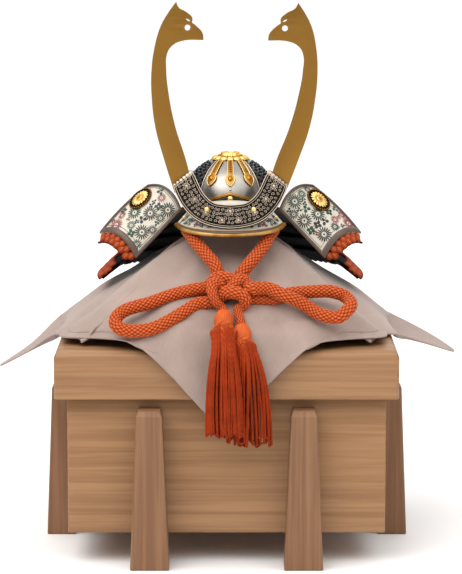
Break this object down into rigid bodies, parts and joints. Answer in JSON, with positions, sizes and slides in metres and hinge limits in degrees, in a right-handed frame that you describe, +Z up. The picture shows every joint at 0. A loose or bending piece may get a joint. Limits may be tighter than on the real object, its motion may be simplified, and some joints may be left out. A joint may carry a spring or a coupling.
{
  "type": "kabuto helmet on its stand and storage chest",
  "caption": "Small display samurai helmet with beaked brass horns on a cloth-covered stand and wooden chest, tied with an orange cord bow and tassels.",
  "frame": {"origin": "on the ground plane, under the centre of the bounding box without the cord's nodes", "axes": "+Z up, -Y towards the viewer, the side where the horns and the bow are, +X to the viewer's right"},
  "size_m": [0.3925, 0.29, 0.4601],
  "materials": {
    "wood": "satin",
    "linen": "matte",
    "lacquer": "gloss",
    "silver": "polished",
    "aged_silver": "satin",
    "pale_gold": "polished",
    "brass": "satin",
    "leather": "satin",
    "edge_brown": "satin",
    "lacing": "matte",
    "cord": "matte",
    "tassel": "matte"
  },
  "bodies": {
    "root": {"bowl": "lacquer", "brow_trim": "pale_gold", "chest_body": "wood", "chest_lid": "wood", "cord_knot": "cord", "cord_loop_left": "cord", "cord_loop_right": "cord", "cord_neck": "cord", "cord_tail_front": "cord", "cord_tail_side": "cord", "crown_ring": "pale_gold", "drape_cloth": "linen", "front_plate": "silver", "horn_left": "brass", "horn_mount": "aged_silver", "horn_right": "brass", "leg_back_left": "wood", "leg_back_right": "wood", "leg_front_left": "wood", "leg_front_right": "wood", "leg_side_left": "wood", "leg_side_right": "wood", "medallion_left": "pale_gold", "medallion_right": "pale_gold", "mount_stud_left": "pale_gold", "mount_stud_right": "pale_gold", "neck_lame_1": "lacquer", "neck_lame_2": "lacquer", "neck_lame_3": "lacquer", "neck_lame_4": "lacquer", "neck_lame_5": "lacing", "stand_post": "wood", "strip_left": "pale_gold", "strip_middle": "pale_gold", "strip_right": "pale_gold", "tassel_front": "tassel", "tassel_side": "tassel", "visor": "leather", "visor_rim": "pale_gold", "visor_stud_left": "pale_gold", "visor_stud_right": "pale_gold", "wing_left": "leather", "wing_right": "leather", "wing_rim_left": "edge_brown", "wing_rim_right": "edge_brown"}
  },
  "joints": []
}
